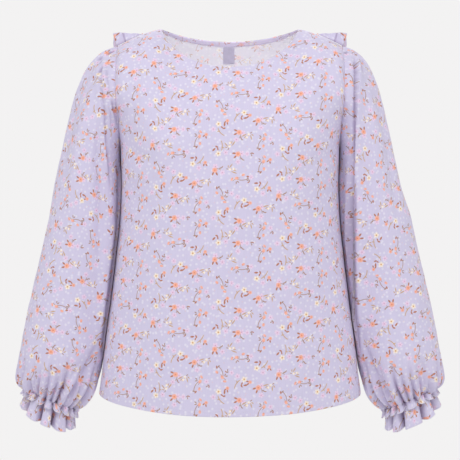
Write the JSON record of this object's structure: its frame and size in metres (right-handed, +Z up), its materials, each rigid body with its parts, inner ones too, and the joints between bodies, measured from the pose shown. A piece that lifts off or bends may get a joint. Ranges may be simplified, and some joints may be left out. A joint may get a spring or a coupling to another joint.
{
  "type": "long-sleeved printed blouse",
  "caption": "Light long-sleeved blouse filled out as if worn, with a round neck, curved hem, full sleeves, elastic wrists with frills and a small frill on each shoulder seam",
  "frame": {"origin": "midway between the two neck ends of the shoulder seams, where the blouse rests on the wearer", "axes": "+X to the wearer's left, -Y out of the front, +Z up"},
  "size_m": [0.6846, 0.2593, 0.65],
  "materials": {
    "printed_cloth": "matt, fine plain weave",
    "facing": "matt, fine plain weave",
    "label": "satin woven tape"
  },
  "bodies": {
    "root": {"front": "printed_cloth", "back": "printed_cloth", "sleeve_left": "printed_cloth", "cuff_frill_left": "printed_cloth", "cuff_heading_left": "printed_cloth", "shoulder_frill_left": "printed_cloth", "sleeve_right": "printed_cloth", "cuff_frill_right": "printed_cloth", "cuff_heading_right": "printed_cloth", "shoulder_frill_right": "printed_cloth", "neck_facing": "facing", "label": "label"}
  },
  "joints": []
}
